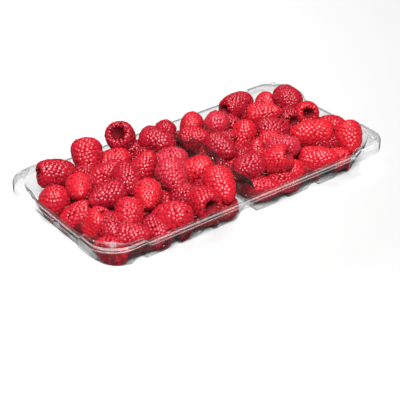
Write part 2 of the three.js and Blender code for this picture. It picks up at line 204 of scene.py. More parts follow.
RIGHT_BERRIES = (
    (19, 35, 19, -117, 61, 15.5, 18, "bright", "blunt"),
    (13, 23, 17, -55, 10, 16, 19, "mid", "conic"),
    (28, 22, 22, -128, 62, 16, 18, "pale", "round"),
    (53, 33, 23, 3, 6, 16.5, 21.5, "deep", "open"),
    (76, 33, 15.3, 52, 58, 15.5, 17, "bright", "blunt"),
    (60, 16, 21.8, -52, 15, 15, 22, "bright", "conic"),
    (83.5, 20.4, 22, -95, -7, 16.5, 20, "deep", "round"),
    (82, 3, 20.6, 57, -24, 14.8, 17, "bright", "open"),
    (51, -1, 21, 155, 19, 15.5, 21, "deep", "blunt"),
    (66, -19, 21, 151, 5, 17, 25, "bright", "open"),
    (85, -18, 18, -38, 0, 15.5, 18, "mid", "round"),
    (82, -35, 19, -116, -37, 17, 20, "bright", "conic"),
    (34, 5, 19, -9, 68, 15.5, 22, "bright", "blunt"),
    (15, 1, 20, -79, -6, 16, 20, "deep", "conic"),
    (13, -25, 20, 162, -11, 16, 20, "deep", "round"),
    (33, -9, 14.5, 52, 85, 15.5, 19, "mid", "conic"),
    (42, -22, 21.3, -55, 10, 15.2, 21, "pale", "blunt"),
    (28, -30, 21, 129, -29, 16, 20, "bright", "open"),
    (51, -18, 12, -34, -64, 16, 19, "deep", "round"),
    (58, -35, 14, -48, 12, 16, 24, "bright", "conic"),
    (38, -34, 10, -65, 65, 16, 20, "bright", "blunt"),
    (17, -35, 9, -46, 5, 15.5, 19, "mid", "conic"),
)
# Where the tray's floor shows between the berries and the walls
BARE_PLACES = ((-83, 31), (83, 31), (83, 15.5), (50.5, 31), (-34, 31), (83, -31))


# Small tools for working as by hand

def only(piece):
    """Leaves one object selected and active, in object mode."""
    if bpy.context.object and bpy.context.object.mode != "OBJECT":
        bpy.ops.object.mode_set(mode="OBJECT")
    bpy.ops.object.select_all(action="DESELECT")
    piece.select_set(True)
    bpy.context.view_layer.objects.active = piece


def clear_selection():
    if bpy.context.object and bpy.context.object.mode != "OBJECT":
        bpy.ops.object.mode_set(mode="OBJECT")
    bpy.ops.object.select_all(action="DESELECT")


def finish_edit(name):
    """Ends edit mode and names the object and its mesh."""
    bpy.ops.object.mode_set(mode="OBJECT")
    piece = bpy.context.object
    piece.name = name
    piece.data.name = name
    bpy.ops.object.transform_apply(location=True, rotation=True, scale=True)
    return piece


def pick(piece, kind, test):
    """In edit mode, selects the verts, edges or faces whose middle, in millimetres, passes the test."""
    bpy.ops.mesh.select_mode(type={"verts": "VERT", "edges": "EDGE", "faces": "FACE"}[kind])
    bpy.ops.mesh.select_all(action="DESELECT")
    mesh = bmesh.from_edit_mesh(piece.data)
    for element in getattr(mesh, kind):
        if kind == "verts":
            middle = element.co / MM
        elif kind == "edges":
            middle = (element.verts[0].co + element.verts[1].co) / 2 / MM
        else:
            middle = element.calc_center_median() / MM
        if test(middle):
            element.select_set(True)
    mesh.select_flush_mode()
    bmesh.update_edit_mesh(piece.data)


def apply_modifier(piece, kind, **settings):
    """Adds one modifier with its settings and applies it."""
    only(piece)
    modifier = piece.modifiers.new(kind.title(), kind)
    for key, value in settings.items():
        setattr(modifier, key, value)
    bpy.ops.object.modifier_apply(modifier=modifier.name)


def joined(name, pieces):
    """Joins several objects into the first one."""
    clear_selection()
    for piece in pieces:
        piece.select_set(True)
    bpy.context.view_layer.objects.active = pieces[0]
    if len(pieces) > 1:
        bpy.ops.object.join()
    pieces[0].name = name
    pieces[0].data.name = name
    return pieces[0]


def vertices_of(piece):
    points = np.empty(len(piece.data.vertices) * 3)
    piece.data.vertices.foreach_get("co", points)
    return points.reshape(-1, 3) / MM


def set_vertices(piece, points):
    piece.data.vertices.foreach_set("co", (points * MM).ravel())
    piece.data.update()


def set_attribute(piece, name, values):
    """Writes one number for each vertex, for the material to read."""
    attribute = piece.data.attributes.get(name) or piece.data.attributes.new(name, "FLOAT", "POINT")
    spread = np.broadcast_to(values, len(piece.data.vertices))
    attribute.data.foreach_set("value", spread.astype(np.float32))


# Materials

def colour(hex_code):
    """Turns an sRGB hex value into the linear colour that the shaders use."""
    parts = [int(hex_code[i:i + 2], 16) / 255 for i in (1, 3, 5)]
    linear = [part / 12.92 if part <= 0.04045 else ((part + 0.055) / 1.055) ** 2.4 for part in parts]
    return (*linear, 1.0)


def add(nodes, kind, settings=(), links=()):
    """Adds one node, sets its properties and sockets, and links other nodes' outputs to its inputs."""
    node = nodes.nodes.new(kind)
    for key, value in dict(settings).items():
        if isinstance(key, int) or key in node.inputs:
            node.inputs[key].default_value = value
        else:
            setattr(node, key, value)
    for key, output in dict(links).items():
        nodes.links.new(output, node.inputs[key])
    return node


def new_material(name):
    material = bpy.data.materials.new(name)
    material.use_nodes = True
    material.node_tree.nodes.clear()
    return material, material.node_tree


def raspberry_flesh(name, crown, body, painted_crease_shade, bloom):
    """Ripe raspberry drupelets: thin translucent skin over juice, so light sinks in. Their creases, and the
    cup between them, are painted a darker red from each drupelet's height, as painted shade; the hollow's
    inside is painted darker too, as painted shade. Each drupelet shines in one small spot. Ripeness blotches
    are about
    5.5 mm across and the skin's grain 0.7 mm. The bloom is a matt down of fine hairs that greys what faces
    away."""
    material, nodes = new_material(name)
    height = add(nodes, "ShaderNodeAttribute", {"attribute_name": "crown"})
    shade = add(nodes, "ShaderNodeAttribute", {"attribute_name": "shade"})
    hollow = add(nodes, "ShaderNodeAttribute", {"attribute_name": "hollow"})
    place = add(nodes, "ShaderNodeTexCoord")
    blotch = add(nodes, "ShaderNodeTexNoise", {"Scale": 180.0, "Detail": 2.0},
                 {"Vector": place.outputs["Object"]})
    mixed = add(nodes, "ShaderNodeMath", {"operation": "MULTIPLY_ADD", 1: 0.5},
                {0: blotch.outputs["Fac"], 2: shade.outputs["Fac"]})
    ripe = add(nodes, "ShaderNodeMapRange", {"From Min": 0.1, "From Max": 1.15}, {"Value": mixed.outputs[0]})
    skin = add(nodes, "ShaderNodeMix", {"data_type": "RGBA", 6: colour(body), 7: colour(crown)},
               {0: ripe.outputs[0]})
    # Painted shade: the creases and the cup are painted a darker red where the drupelet's height is low
    depth = add(nodes, "ShaderNodeMapRange", {"From Min": 0.3, "From Max": 0.75},
                {"Value": height.outputs["Fac"]})
    crease_shaded = add(nodes, "ShaderNodeMix", {"data_type": "RGBA", 6: colour(painted_crease_shade)},
                  {0: depth.outputs[0], 7: skin.outputs[2]})
    # Painted shade: the inside of the hollow is painted a darker red
    inner = add(nodes, "ShaderNodeMix", {"data_type": "RGBA", 7: colour("#7C0C1C")},
                {0: hollow.outputs["Fac"], 6: crease_shaded.outputs[2]})
    grain = add(nodes, "ShaderNodeTexNoise", {"Scale": 1400.0, "Detail": 3.0},
                {"Vector": place.outputs["Object"]})
    bump = add(nodes, "ShaderNodeBump", {"Strength": 0.2, "Distance": 0.0001},
               {"Height": grain.outputs["Fac"]})
    shine = add(nodes, "ShaderNodeMapRange", {"To Min": 0.1, "To Max": 0.24}, {"Value": grain.outputs["Fac"]})
    rough = add(nodes, "ShaderNodeMath", {"operation": "MULTIPLY_ADD", 1: 0.6},
                {0: hollow.outputs["Fac"], 2: shine.outputs[0]})
    flesh = add(nodes, "ShaderNodeBsdfPrincipled", {
        "IOR": 1.365, "Subsurface Weight": 0.15, "Subsurface Radius": (1.0, 0.25, 0.2),
        "Subsurface Scale": 0.0015, "Sheen Weight": bloom, "Sheen Roughness": 0.45,
    }, {"Base Color": inner.outputs[2], "Roughness": rough.outputs[0], "Normal": bump.outputs[0]})
    add(nodes, "ShaderNodeOutputMaterial", {}, {"Surface": flesh.outputs[0]})
    return material


def clear_pet():
    """Thermoformed clear PET sheet: colourless and glossy, drawn thin over the mould, so it mirrors the
    lights in long streaks along its folds and waves gently, about every 22 mm, between them. Being thin, it
    hardly bends what is seen through it, so its body has a low IOR and its shine comes from a coat with PET's
    own. Light passes on to the berries. The rim's folds and the corner pads are made a little milky white, as
    a painted highlight along them."""
    material, nodes = new_material("thermoformed clear PET")
    place = add(nodes, "ShaderNodeTexCoord")
    wave = add(nodes, "ShaderNodeTexNoise", {"Scale": 45.0, "Detail": 1.5},
               {"Vector": place.outputs["Object"]})
    bump = add(nodes, "ShaderNodeBump", {"Strength": 0.3, "Distance": 0.0003},
               {"Height": wave.outputs["Fac"]})
    fold = add(nodes, "ShaderNodeAttribute", {"attribute_name": "fold"})
    # Painted highlight: where "fold" is high, less light passes and the white base shows as a highlight
    clear = add(nodes, "ShaderNodeMapRange", {"To Min": 1.0, "To Max": 0.88}, {"Value": fold.outputs["Fac"]})
    sheet = add(nodes, "ShaderNodeBsdfPrincipled", {
        "Base Color": colour("#EEEEEE"), "Roughness": 0.0, "IOR": 1.04, "Coat Weight": 0.5, "Coat IOR": 1.57,
        "Coat Roughness": 0.03, "Sheen Weight": 0.01, "Sheen Roughness": 0.3,
    }, {"Transmission Weight": clear.outputs[0], "Normal": bump.outputs[0], "Coat Normal": bump.outputs[0]})
    open_way = add(nodes, "ShaderNodeBsdfTransparent", {"Color": colour("#FAFBFB")})
    rays = add(nodes, "ShaderNodeLightPath")
    both = add(nodes, "ShaderNodeMixShader", {}, {
        0: rays.outputs["Is Shadow Ray"], 1: sheet.outputs[0], 2: open_way.outputs[0],
    })
    add(nodes, "ShaderNodeOutputMaterial", {}, {"Surface": both.outputs[0]})
    return material


def berry_hair():
    """Dried styles of the flower, one on many drupelets: fine dull hairs, straw-coloured and brown in streaks
    of about 2 mm."""
    material, nodes = new_material("dried raspberry styles")
    place = add(nodes, "ShaderNodeTexCoord")
    streak = add(nodes, "ShaderNodeTexNoise", {"Scale": 500.0}, {"Vector": place.outputs["Object"]})
    tint = add(nodes, "ShaderNodeMix", {"data_type": "RGBA", 6: colour("#8A4A40"), 7: colour("#B0907F")},
               {0: streak.outputs["Fac"]})
    hair = add(nodes, "ShaderNodeBsdfPrincipled", {"Roughness": 0.6, "IOR": 1.45},
               {"Base Color": tint.outputs[2]})
    add(nodes, "ShaderNodeOutputMaterial", {}, {"Surface": hair.outputs[0]})
    return material


def crushed_core():
    """Berries packed under those that show, in deep shade: wet flesh painted dark, as painted shade, and
    darker still between its lumps, uneven as if set with drupelets of 2.6 mm."""
    material, nodes = new_material("packed raspberry flesh in painted shade")
    place = add(nodes, "ShaderNodeTexCoord")
    lumps = add(nodes, "ShaderNodeTexVoronoi", {"Scale": 380.0}, {"Vector": place.outputs["Object"]})
    # Painted shade: the flesh is painted dark, and darker still between the lumps
    tint = add(nodes, "ShaderNodeMix", {"data_type": "RGBA", 6: colour("#7A0818"), 7: colour("#42040C")},
               {0: lumps.outputs["Distance"]})
    bump = add(nodes, "ShaderNodeBump", {"Strength": 0.8, "Distance": 0.001, "invert": True},
               {"Height": lumps.outputs["Distance"]})
    flesh = add(nodes, "ShaderNodeBsdfPrincipled", {"Roughness": 0.5, "IOR": 1.38},
                {"Base Color": tint.outputs[2], "Normal": bump.outputs[0]})
    add(nodes, "ShaderNodeOutputMaterial", {}, {"Surface": flesh.outputs[0]})
    return material


def pale_floor():
    """A seamless studio sheet of matt pale card. Its tone rises towards the back, where less light falls.
    Gloss sees it darker, as beside a black card, so that it lays no veil over the berries and the tray."""
    material, nodes = new_material("matt pale grey card")
    place = add(nodes, "ShaderNodeTexCoord")
    split = add(nodes, "ShaderNodeSeparateXYZ", {}, {"Vector": place.outputs["Object"]})
    back = add(nodes, "ShaderNodeMapRange", {"From Min": -0.1, "From Max": 0.4},
               {"Value": split.outputs["Y"]})
    tint = add(nodes, "ShaderNodeMix", {"data_type": "RGBA", 6: colour("#9A9A9A"), 7: colour("#C6C6C6")},
               {0: back.outputs[0]})
    rays = add(nodes, "ShaderNodeLightPath")
    mirrored = add(nodes, "ShaderNodeMath", {"operation": "MINIMUM", 1: 1.0},
                   {0: rays.outputs["Glossy Depth"]})
    seen = add(nodes, "ShaderNodeMix", {"data_type": "RGBA", 7: colour("#342C2E")},
               {0: mirrored.outputs[0], 6: tint.outputs[2]})
    card = add(nodes, "ShaderNodeBsdfPrincipled", {"Roughness": 0.9}, {"Base Color": seen.outputs[2]})
    add(nodes, "ShaderNodeOutputMaterial", {}, {"Surface": card.outputs[0]})
    return material


# The tray

def smooth_step(value, low, high):
    t = min(max((value - low) / (high - low), 0.0), 1.0)
    return t * t * (3 - 2 * t)


def corner_share(x, y):
    """How much of the corners' rise a point of the rim has."""
    return smooth_step(abs(x), *RISE_X) * smooth_step(abs(y), *RISE_Y)


def outline(half_x, half_y, corner, fullness, side_x, side_y):
    """One closed outline of the tray. A fullness of 2 makes its corners round, and one of 1 cuts them
    straight. side_x and side_y place the points along the sides."""
    quarter = [(half_x, y) for y in side_y]
    for i in range(CORNER_STEPS + 1):
        angle = i / CORNER_STEPS * math.pi / 2
        along = max(math.cos(angle), 0) ** (2 / fullness)
        across = max(math.sin(angle), 0) ** (2 / fullness)
        quarter.append((half_x - corner + corner * along, half_y - corner + corner * across))
    quarter += [(x, half_y) for x in reversed(side_x)]
    back = quarter[::-1]
    return (
        [(half_x, 0)] + quarter + [(0, half_y)] + [(-x, y) for x, y in back]
        + [(-half_x, 0)] + [(-x, -y) for x, y in quarter] + [(0, -half_y)] + [(x, -y) for x, y in back]
    )


def steps(low, high, count=5):
    return [low + (high - low) * i / (count - 1) for i in range(count)]


# Where the outlines have points along the sides, close together where the rim rises to its corners
SIDE_X = [30, 55] + steps(*RISE_X)
SIDE_Y = [11] + steps(*RISE_Y)
FOOT_SIDE_X = [30, 50] + steps(60, 72)
FOOT_SIDE_Y = [9] + steps(14, 22)


def raised(points, z, rise):
    return [Vector((x, y, z + rise * CORNER_RISE * corner_share(x, y))) for x, y in points]


def rim_ring(inset, z, rise=1.0):
    """An outline set in from the rim's edge, flared at its corners."""
    points = outline(RIM_X - inset, RIM_Y - inset, RIM_CORNER - inset * 0.4, RIM_FULLNESS, SIDE_X, SIDE_Y)
    flared = []
    for x, y in points:
        out = CORNER_FLARE * corner_share(x, y)
        flared.append((x + math.copysign(out, x) if x else 0, y + math.copysign(out, y) if y else 0))
    return raised(flared, z, rise)


def mouth_ring(grow, z, rise=1.0):
    """The outline of the mouth, grown outwards."""
    half_x = RIM_X - MOUTH_INSET + grow
    half_y = RIM_Y - MOUTH_INSET + grow
    return raised(outline(half_x, half_y, MOUTH_CORNER, MOUTH_FULLNESS, SIDE_X, SIDE_Y), z, rise)


def foot_ring(grow, z):
    """The outline of the base, grown outwards."""
    half_x = RIM_X - BASE_INSET_X + grow
    half_y = RIM_Y - BASE_INSET_Y + grow
    points = outline(half_x, half_y, BASE_CORNER, BASE_FULLNESS, FOOT_SIDE_X, FOOT_SIDE_Y)
    return [Vector((x, y, z)) for x, y in points]


def ring_body(name, rings):
    """A closed body drawn out ring by ring, from a circle with as many points as the rings have."""
    clear_selection()
    bpy.ops.mesh.primitive_circle_add(vertices=len(rings[0]), radius=MM, enter_editmode=True)
    piece = bpy.context.object
    mesh = bmesh.from_edit_mesh(piece.data)
    layer = mesh.verts.layers.int.new("place")
    mesh.verts.ensure_lookup_table()
    for index, vertex in enumerate(mesh.verts):
        vertex[layer] = index
        vertex.co = rings[0][index] * MM
    bmesh.update_edit_mesh(piece.data)
    bpy.ops.mesh.edge_face_add()
    bpy.ops.mesh.select_all(action="SELECT")
    for ring in rings[1:]:
        bpy.ops.mesh.select_mode(type="EDGE")
        bpy.ops.mesh.extrude_region_move()
        mesh = bmesh.from_edit_mesh(piece.data)
        layer = mesh.verts.layers.int["place"]
        for vertex in mesh.verts:
            if vertex.select:
                vertex.co = ring[vertex[layer]] * MM
        bmesh.update_edit_mesh(piece.data)
    bpy.ops.mesh.select_all(action="SELECT")
    bpy.ops.mesh.normals_make_consistent(inside=False)
    return finish_edit(name)


def tapered_bar(name, half_x, half_y, low, top_x, stations):
    """A bar along Y with a narrower top. Its stations of (y, z) give the top's height along each half."""
    clear_selection()
    bpy.ops.mesh.primitive_cube_add(size=1, enter_editmode=True)
    piece = bpy.context.object
    bpy.ops.transform.resize(value=(2 * half_x * MM, 2 * half_y * MM, MM))
    for y, _ in stations[:-1]:
        for side in (-1, 1):
            bpy.ops.mesh.select_all(action="SELECT")
            bpy.ops.mesh.bisect(plane_co=(0, side * y * MM, 0), plane_no=(0, 1, 0))
    top = max(z for _, z in stations)
    slope = (half_x - top_x) / (top - low)
    mesh = bmesh.from_edit_mesh(piece.data)
    for vertex in mesh.verts:
        if vertex.co.z < 0:
            vertex.co.z = low * MM
        else:
            y = abs(vertex.co.y) / MM
            z = min(stations, key=lambda station: abs(station[0] - y))[1]
            vertex.co.x = math.copysign((half_x - slope * (z - low)) * MM, vertex.co.x)
            vertex.co.z = z * MM
    bmesh.update_edit_mesh(piece.data)
    return finish_edit(name)


def cut_away(piece, tool):
    apply_modifier(piece, "BOOLEAN", operation="DIFFERENCE", solver="EXACT", object=tool)
    bpy.data.objects.remove(tool)


def pressed_tray():
    """The tray's sheet: the space in the tray less the divider and the channels, opened at its mouth, drawn
    out into the rim and given its thickness."""
    above = HUMP_Z + 3
    space = ring_body("tray_space", [
        foot_ring(-FOOT_ROUND, SHEET), foot_ring(-FOOT_ROUND * 0.4, SHEET + FOOT_ROUND * 0.25),
        foot_ring(-SHEET, SHEET + FOOT_ROUND), mouth_ring(-0.2, RIM_Z - 1.5),
        mouth_ring(0, RIM_Z - MOUTH_ROUND), mouth_ring(0, above, 0),
    ])
    cut_away(space, tapered_bar("ridge", RIDGE_FOOT, BAR_HALF_Y, 0, RIDGE_TOP, RIDGE_STATIONS))
    stations = ((BAR_HALF_Y, CHANNEL_Z + SHEET),)
    for x in CHANNEL_X:
        for side in (-1, 1):
            bar = tapered_bar("channel", CHANNEL_FOOT, BAR_HALF_Y, 0, CHANNEL_TOP, stations)
            bar.data.transform(Matrix.Translation((side * x * MM, 0, 0)))
            cut_away(space, bar)
    only(space)
    bpy.ops.object.mode_set(mode="EDIT")
    # Above the rim only the divider's hump stays
    pick(space, "faces", lambda m: m.z > above - 1 or (m.z > RIM_Z and (abs(m.x) > 20 or abs(m.y) > 45)))
    bpy.ops.mesh.delete(type="FACE")
    bpy.ops.mesh.select_all(action="SELECT")
    bpy.ops.mesh.remove_doubles(threshold=0.02 * MM)
    bpy.ops.mesh.flip_normals()
    bpy.ops.object.mode_set(mode="OBJECT")
    apply_modifier(space, "BEVEL", limit_method="ANGLE", angle_limit=math.radians(FOLD_ANGLE),
                   width=FOLD_RADIUS * MM, segments=3, use_clamp_overlap=True)
    draw_out_rim(space)
    apply_modifier(space, "SOLIDIFY", thickness=SHEET * MM, offset=-1.0, use_even_offset=False)
    return space


def draw_out_rim(sheet):
    """Draws the open edge of the mouth out over the rim, the bead and the lip, ring by ring."""
    only(sheet)
    bpy.ops.object.mode_set(mode="EDIT")
    bpy.ops.mesh.select_mode(type="EDGE")
    bpy.ops.mesh.select_all(action="DESELECT")
    mouth = mouth_ring(0, RIM_Z - MOUTH_ROUND)
    mesh = bmesh.from_edit_mesh(sheet.data)
    around = mesh.verts.layers.int.new("around")
    mesh.verts.layers.float.new("fold")
    for edge in mesh.edges:
        if edge.is_boundary:
            edge.select_set(True)
            for vertex in edge.verts:
                vertex[around] = min(range(len(mouth)), key=lambda i: (mouth[i] * MM - vertex.co).length)
    bmesh.update_edit_mesh(sheet.data)
    # Each ring from the mouth to the lip's edge, with how much painted highlight its fold gets
    bead_z = RIM_Z - BEAD_Z
    rim = (
        (mouth_ring(0.2, RIM_Z - 0.15), 0.6),
        (mouth_ring(0.7, RIM_Z), 0),
        (rim_ring(BEAD_INSET + 0.25, RIM_Z), 0),
        (rim_ring(BEAD_INSET, RIM_Z - 0.12), 1),
        (rim_ring(BEAD_INSET - 0.25, bead_z + 0.12), 0.6),
        (rim_ring(BEAD_INSET - 0.5, bead_z), 0),
        (rim_ring(0.75, bead_z), 0),
        (rim_ring(0.25, bead_z - 0.2), 0.8),
        (rim_ring(0, bead_z - 0.7), 0),
        (rim_ring(0, RIM_Z - LIP_Z, 0), 0),
    )
    for ring, painted_highlight in rim:
        bpy.ops.mesh.extrude_region_move()
        mesh = bmesh.from_edit_mesh(sheet.data)
        around = mesh.verts.layers.int["around"]
        fold = mesh.verts.layers.float["fold"]
        for vertex in mesh.verts:
            if vertex.select:
                vertex.co = ring[vertex[around]] * MM
                vertex[fold] = painted_highlight
        bmesh.update_edit_mesh(sheet.data)
    bpy.ops.mesh.select_all(action="SELECT")
    bpy.ops.mesh.remove_doubles(threshold=0.005 * MM)
    bpy.ops.mesh.normals_make_consistent(inside=False)
    bpy.ops.object.mode_set(mode="OBJECT")


def rim_catch(side):
    """The raised catch on the rim at one end of the divider, a bar with sloping ends."""
    clear_selection()
    bpy.ops.mesh.primitive_cube_add(size=1, enter_editmode=True)
    piece = bpy.context.object
    inner = RIM_Y - MOUTH_INSET + 0.6
    outer = RIM_Y - BEAD_INSET + 0.2
    bpy.ops.transform.resize(value=(2 * (CATCH_X + CATCH_SLOPE) * MM, (outer - inner) * MM, CATCH_Z * MM))
    bpy.ops.transform.translate(value=(0, side * (inner + outer) / 2 * MM, (RIM_Z + CATCH_Z / 2) * MM))
    pick(piece, "faces", lambda m: m.z > RIM_Z + CATCH_Z - 0.1)
    bpy.ops.transform.resize(value=(CATCH_X / (CATCH_X + CATCH_SLOPE), 0.8, 1))
    bpy.ops.mesh.select_all(action="SELECT")
    bpy.ops.mesh.bevel(offset=CATCH_ROUND * MM, segments=3, affect="EDGES")
    return finish_edit("catch")


def corner_pad(side_x, side_y):
    """A raised triangular pad with a round button, on one corner of the rim."""
    clear_selection()
    base = RIM_Z + CORNER_RISE
    bpy.ops.mesh.primitive_cylinder_add(vertices=3, radius=MM, depth=MM, enter_editmode=True)
    pad = bpy.context.object
    corners = [(PAD_X, PAD_Y), (PAD_X - PAD_SIDE, PAD_Y), (PAD_X, PAD_Y - PAD_SIDE)]
    mesh = bmesh.from_edit_mesh(pad.data)
    angles = sorted({round(math.atan2(v.co.y, v.co.x), 3) for v in mesh.verts})
    for vertex in mesh.verts:
        x, y = corners[angles.index(round(math.atan2(vertex.co.y, vertex.co.x), 3))]
        z = base + PAD_HEIGHT if vertex.co.z > 0 else base - 0.1
        vertex.co = Vector((side_x * x, side_y * y, z)) * MM
    bmesh.update_edit_mesh(pad.data)
    bpy.ops.mesh.select_all(action="SELECT")
    bpy.ops.mesh.normals_make_consistent(inside=False)
    bpy.ops.mesh.bevel(offset=PAD_ROUND * MM, segments=2, affect="EDGES")
    pad = finish_edit("pad")
    clear_selection()
    middle = (side_x * (PAD_X - PAD_SIDE / 3) * MM, side_y * (PAD_Y - PAD_SIDE / 3) * MM)
    height = BUTTON_HEIGHT + 0.3
    top = base + PAD_HEIGHT + BUTTON_HEIGHT
    bpy.ops.mesh.primitive_cylinder_add(
        vertices=24, radius=BUTTON_RADIUS * MM, depth=height * MM,
        location=(*middle, (top - height / 2) * MM), enter_editmode=True,
    )
    button = bpy.context.object
    pick(button, "faces", lambda m: m.z > height / 2 - 0.01)
    bpy.ops.mesh.bevel(offset=BUTTON_ROUND * MM, segments=3, affect="EDGES")
    button = finish_edit("button")
    return [pad, button]


def make_tray():
    """The sheet with its catches, pads and buttons. Its attribute "fold" says where a highlight is painted.
    """
    parts = [pressed_tray()]
    for side in (-1, 1):
        parts.append(rim_catch(side))
        for side_x in (-1, 1):
            parts += corner_pad(side_x, side)
    tray = joined("clear_tray", parts)
    x, _, z = vertices_of(tray).T
    folds = np.empty(len(z), np.float32)
    tray.data.attributes["fold"].data.foreach_get("value", folds)
    # The pads' tops get a painted highlight too
    pad = (np.abs(x) > RISE_X[0]) & (z > RIM_Z + CORNER_RISE + 0.05)
    set_attribute(tray, "fold", np.where(pad, PAD_PAINTED_HIGHLIGHT, folds))
    only(tray)
    bpy.ops.object.shade_smooth_by_angle(angle=math.radians(32))
    return tray


# The berries

def turned(name, profile, sides):
    """A body turned about Z, drawn out ring by ring along a profile of (radius, height) that ends on the
    axis."""
    clear_selection()
    radius, height = profile[0]
    bpy.ops.mesh.primitive_circle_add(vertices=sides, radius=radius * MM, location=(0, 0, height * MM),
                                      enter_editmode=True)
    bpy.ops.mesh.edge_face_add()
    bpy.ops.mesh.poke()
    pick(bpy.context.object, "verts", lambda m: m.to_2d().length > radius * 0.5)
    for next_radius, next_height in profile[1:]:
        scale = next_radius / radius
        lift = (0, 0, (next_height - height) * MM)
        bpy.ops.mesh.extrude_region_move(TRANSFORM_OT_translate={"value": lift})
        bpy.ops.transform.resize(value=(scale, scale, 1), center_override=(0, 0, next_height * MM))
        radius, height = next_radius, next_height
    bpy.ops.mesh.merge(type="CENTER")
    bpy.ops.mesh.select_all(action="SELECT")
    bpy.ops.mesh.normals_make_consistent(inside=False)
    return finish_edit(name)


def drupelet_dome(sides, rings):
    """One drupelet of unit radius and height: a rounded cap with a flat closed foot."""
    clear_selection()
    bpy.ops.mesh.primitive_uv_sphere_add(segments=sides, ring_count=rings, radius=MM, enter_editmode=True)
    bpy.ops.mesh.select_all(action="SELECT")
    bpy.ops.mesh.bisect(plane_co=(0, 0, DOME_CUT * MM), plane_no=(0, 0, 1), clear_inner=True, use_fill=True)
    dome = finish_edit("drupelet")
    points = vertices_of(dome)
    points[:, :2] /= math.sqrt(1 - DOME_CUT ** 2)
    points[:, 2] = np.clip((points[:, 2] - DOME_CUT) / (1 - DOME_CUT), 0, 1)
    set_vertices(dome, points)
    return dome


def smoothed(profile, rounds=2):
    """Cuts the corners of a profile so that it turns gently."""
    for _ in range(rounds):
        finer = [profile[0]]
        for (r0, h0), (r1, h1) in zip(profile, profile[1:]):
            finer.append((r0 * 0.75 + r1 * 0.25, h0 * 0.75 + h1 * 0.25))
            finer.append((r0 * 0.25 + r1 * 0.75, h0 * 0.25 + h1 * 0.75))
        profile = finer + [profile[-1]]
    return profile


def on_profile(places, profile):
    """Moves places to the nearest point of a body of revolution, and gives the way out of it at each."""
    ends = np.array(profile)
    fine = np.concatenate([a + (b - a) * np.linspace(0, 1, 12, endpoint=False)[:, None]
                           for a, b in zip(ends, ends[1:])])
    along = np.gradient(fine, axis=0)
    along /= np.linalg.norm(along, axis=1)[:, None]
    in_plan = np.hypot(places[:, 0], places[:, 1])
    off_radius = in_plan[:, None] - fine[:, 0]
    off_height = places[:, 2][:, None] - fine[:, 1]
    nearest = np.argmin(off_radius ** 2 + off_height ** 2, axis=1)
    round_axis = places[:, :2] / np.maximum(in_plan, 1e-6)[:, None]
    settled = np.column_stack([round_axis * fine[nearest, :1], fine[nearest, 1]])
    out = np.column_stack([round_axis * along[nearest, 1:], -along[nearest, 0]])
    return settled, out


def spread_over(profile, pitch, rng):
    """Places for drupelets over a body of revolution, and the way out at each: laid on a spiral by area,
    shaken, then left to push apart. The last one stays on the tip."""
    belts = []
    for (r0, h0), (r1, h1) in zip(profile, profile[1:]):
        belts.append(math.pi * (r0 + r1) * math.hypot(r1 - r0, h1 - h0))
    count = round(sum(belts) / (pitch * pitch * 0.866))
    edges = np.concatenate([[0], np.cumsum(belts)])
    share = np.interp((np.arange(count) + 0.5) / count * edges[-1], edges, np.arange(len(edges)))
    radius = np.interp(share, np.arange(len(profile)), [r for r, _ in profile])
    height = np.interp(share, np.arange(len(profile)), [h for _, h in profile])
    angle = np.arange(count) * GOLDEN_ANGLE
    places = np.column_stack([radius * np.cos(angle), radius * np.sin(angle), height])
    places += np.array([[rng.uniform(-1, 1) for _ in range(3)] for _ in places]) * pitch * DRUPELET_SHAKE
    for _ in range(5):
        places[-1] = (0, 0, profile[-1][1])
        places, _ = on_profile(places, profile)
        apart = places[:, None] - places[None]
        gap = np.linalg.norm(apart, axis=2) + np.eye(count) * 1000
        push = np.clip(pitch * 0.95 - gap, 0, None) / gap * 0.4
        places = places + (apart * push[:, :, None]).sum(axis=1)
    places[-1] = (0, 0, profile[-1][1])
    return on_profile(places, profile)


def set_dome(dome, spot, out, size, shade):
    """A copy of the dome at a spot on a berry, facing out. Its size is across, along and high."""
    tilt = out.to_track_quat("Z", "Y").to_matrix().to_4x4()
    copy = dome.copy()
    copy.data = dome.data.copy()
    copy.data.transform(Matrix.Translation(spot * MM) @ tilt @ Matrix.Diagonal((*size, 1)))
    bpy.context.scene.collection.objects.link(copy)
    heights = vertices_of(dome)[:, 2]
    # The drupelet's height, from which the material paints shade into the creases
    set_attribute(copy, "crown", heights)
    set_attribute(copy, "hollow", 0.0)
    set_attribute(copy, "shade", shade)
    return copy


